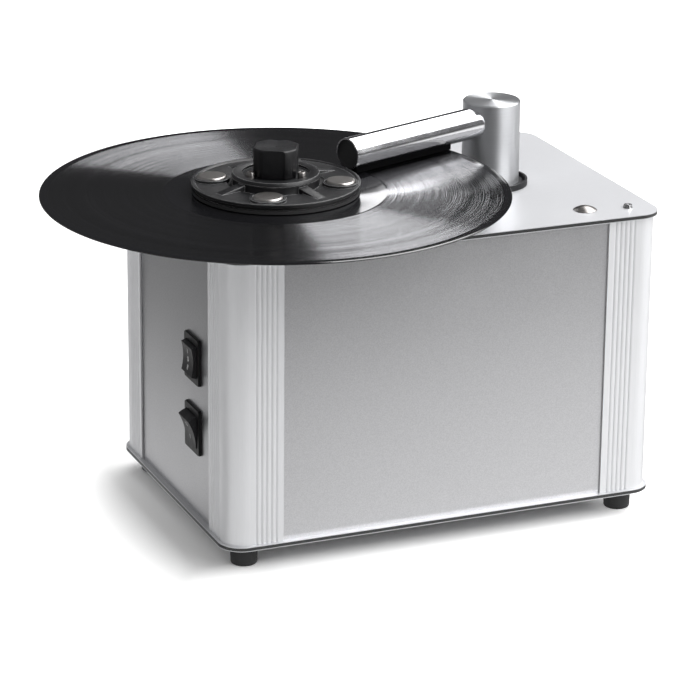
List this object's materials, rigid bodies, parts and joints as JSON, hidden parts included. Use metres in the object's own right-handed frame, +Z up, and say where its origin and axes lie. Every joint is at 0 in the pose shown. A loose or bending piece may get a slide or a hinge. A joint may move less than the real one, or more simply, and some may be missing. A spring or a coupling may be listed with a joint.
{
  "type": "record cleaning machine",
  "caption": "Boxy metal record cleaning machine with a turning platter, screw-down record clamp, swinging suction arm and two rocker switches on its side.",
  "frame": {"origin": "on the surface the feet stand on, under the middle of the whole object's bounding box", "axes": "+Z up; +X to the right along the long plain front face; +Y from the front face to the rear face; the switches are on the -X face"},
  "size_m": [0.4142, 0.3302, 0.2759],
  "materials": {
    "brushed_plate": "fine straight brushed skin over a dark core",
    "satin_profile": "satin anodised extrusion",
    "satin_panel": "satin silver with fine grain",
    "black_rubber": "matt black rubber",
    "screw_steel": "bright zinc-plated steel",
    "folded_steel": "zinc-plated sheet",
    "motor_steel": "dull steel can",
    "turned_steel": "ground steel",
    "brass": "turned brass",
    "bronze_bush": "sintered bronze",
    "white_nylon": "natural nylon",
    "cast_alloy": "machined alloy",
    "vinyl": "glossy black grooved vinyl",
    "clamp_plastic": "satin black moulding",
    "knob_plastic": "gloss black moulding",
    "chrome": "chrome plate",
    "turned_alloy": "lathe-turned alloy with fine rings",
    "polished_tube": "polished tube",
    "velvet": "black velvet pile",
    "black_plastic": "satin black plastic",
    "switch_plastic": "satin black bezel",
    "rocker_plastic": "semi-gloss black rocker with white marks",
    "tank_plastic": "natural polyethylene",
    "hose_rubber": "soft hose",
    "blower_plastic": "dark grey moulding",
    "circuit_board": "green laminate",
    "wire_plastic": "sheathed lead"
  },
  "bodies": {
    "cabinet": {"bottom_plate": "brushed_plate", "top_plate": "brushed_plate", "corner_front_left": "satin_profile", "corner_front_right": "satin_profile", "corner_rear_left": "satin_profile", "corner_rear_right": "satin_profile", "front_panel": "satin_panel", "rear_panel": "satin_panel", "right_panel": "satin_panel", "switch_panel": "satin_panel", "feet": "black_rubber", "foot_screws": "screw_steel", "top_screws": "screw_steel", "drive_bracket": "folded_steel", "drive_motor": "motor_steel", "bearing_housing": "cast_alloy", "spindle_bushes": "bronze_bush", "drive_screws": "screw_steel", "arm_bush": "white_nylon", "arm_collar": "black_plastic", "collar_nut": "black_plastic", "arm_spring": "screw_steel", "tank_body": "tank_plastic", "tank_lid": "tank_plastic", "tank_baffle": "tank_plastic", "inlet_hose": "hose_rubber", "suction_hose": "hose_rubber", "blower_housing": "blower_plastic", "blower_motor": "motor_steel", "blower_mount": "black_rubber", "exhaust_grille": "black_plastic", "mains_inlet": "black_plastic", "power_board": "circuit_board", "transformer": "motor_steel", "motor_switch": "switch_plastic", "vacuum_switch": "switch_plastic", "wiring": "wire_plastic"},
    "platter": {"spindle": "turned_steel", "drive_gear": "white_nylon", "platter": "cast_alloy", "platter_grub": "screw_steel", "platter_mat": "black_rubber", "record_disc": "vinyl"},
    "drive_rotor": {"motor_pinion": "brass"},
    "clamp": {"clamp_disc": "clamp_plastic", "clamp_seal": "black_rubber", "clamp_caps": "chrome", "clamp_screws": "chrome"},
    "knob": {"clamp_knob": "knob_plastic", "clamp_nut": "brass"},
    "arm_lifter": {"spring_seat": "white_nylon"},
    "arm": {"arm_column": "turned_alloy", "arm_tube": "polished_tube", "tube_plug": "black_rubber", "velvet_strips": "velvet"},
    "tank_stopper": {"tank_plug": "chrome"},
    "fan": {"fan_wheel": "cast_alloy"},
    "motor_key": {"motor_rocker": "rocker_plastic"},
    "vacuum_key": {"vacuum_rocker": "rocker_plastic"},
    "fuse_holder": {"fuse_drawer": "black_plastic"}
  },
  "joints": [
    {"name": "platter_spin", "type": "hinge", "parent": "cabinet", "child": "platter", "pos_m": [-0.0561, -0.01413, 0.2133], "axis": [0, 0, 1], "continuous": true},
    {"name": "motor_spin", "type": "hinge", "parent": "cabinet", "child": "drive_rotor", "pos_m": [-0.03347, 0.0085, 0.17], "axis": [0, 0, 1], "continuous": true},
    {"name": "clamp_rise", "type": "slide", "parent": "platter", "child": "clamp", "axis": [0, 0, 1], "range_m": [0, 0.012]},
    {"name": "knob_turn", "type": "hinge", "parent": "clamp", "child": "knob", "pos_m": [-0.0561, -0.01413, 0.24615], "axis": [0, 0, 1], "range_deg": [0, 2160]},
    {"name": "arm_lift", "type": "slide", "parent": "cabinet", "child": "arm_lifter", "axis": [0, 0, 1], "range_m": [0, 0.006], "stiffness_N_per_m": 60, "springref_m": 0.012, "deforming": ["arm_spring"]},
    {"name": "arm_swing", "type": "hinge", "parent": "arm_lifter", "child": "arm", "pos_m": [0.1264, 0.05377, 0.2587], "axis": [0, 0, 1], "range_deg": [-75, 75]},
    {"name": "plug_lift", "type": "slide", "parent": "cabinet", "child": "tank_stopper", "axis": [0, 0, 1], "range_m": [0, 0.02]},
    {"name": "fan_spin", "type": "hinge", "parent": "cabinet", "child": "fan", "pos_m": [-0.0033, 0.08247, 0.115], "axis": [0, 0, 1], "continuous": true},
    {"name": "motor_rocker_tilt", "type": "hinge", "parent": "cabinet", "child": "motor_key", "pos_m": [-0.0998, 0.02113, 0.1263], "axis": [0, 1, 0], "range_deg": [-15, 15]},
    {"name": "vacuum_rocker_tilt", "type": "hinge", "parent": "cabinet", "child": "vacuum_key", "pos_m": [-0.0998, 0.02113, 0.0776], "axis": [0, 1, 0], "range_deg": [0, 30]},
    {"name": "fuse_drawer_slide", "type": "slide", "parent": "cabinet", "child": "fuse_holder", "axis": [0, 1, 0], "range_m": [0, 0.012]}
  ],
  "couplings": [
    {"joint": "motor_spin", "follows": "platter_spin", "ratio": -3},
    {"joint": "knob_turn", "follows": "clamp_rise", "rad_per_m": 3141.6}
  ]
}
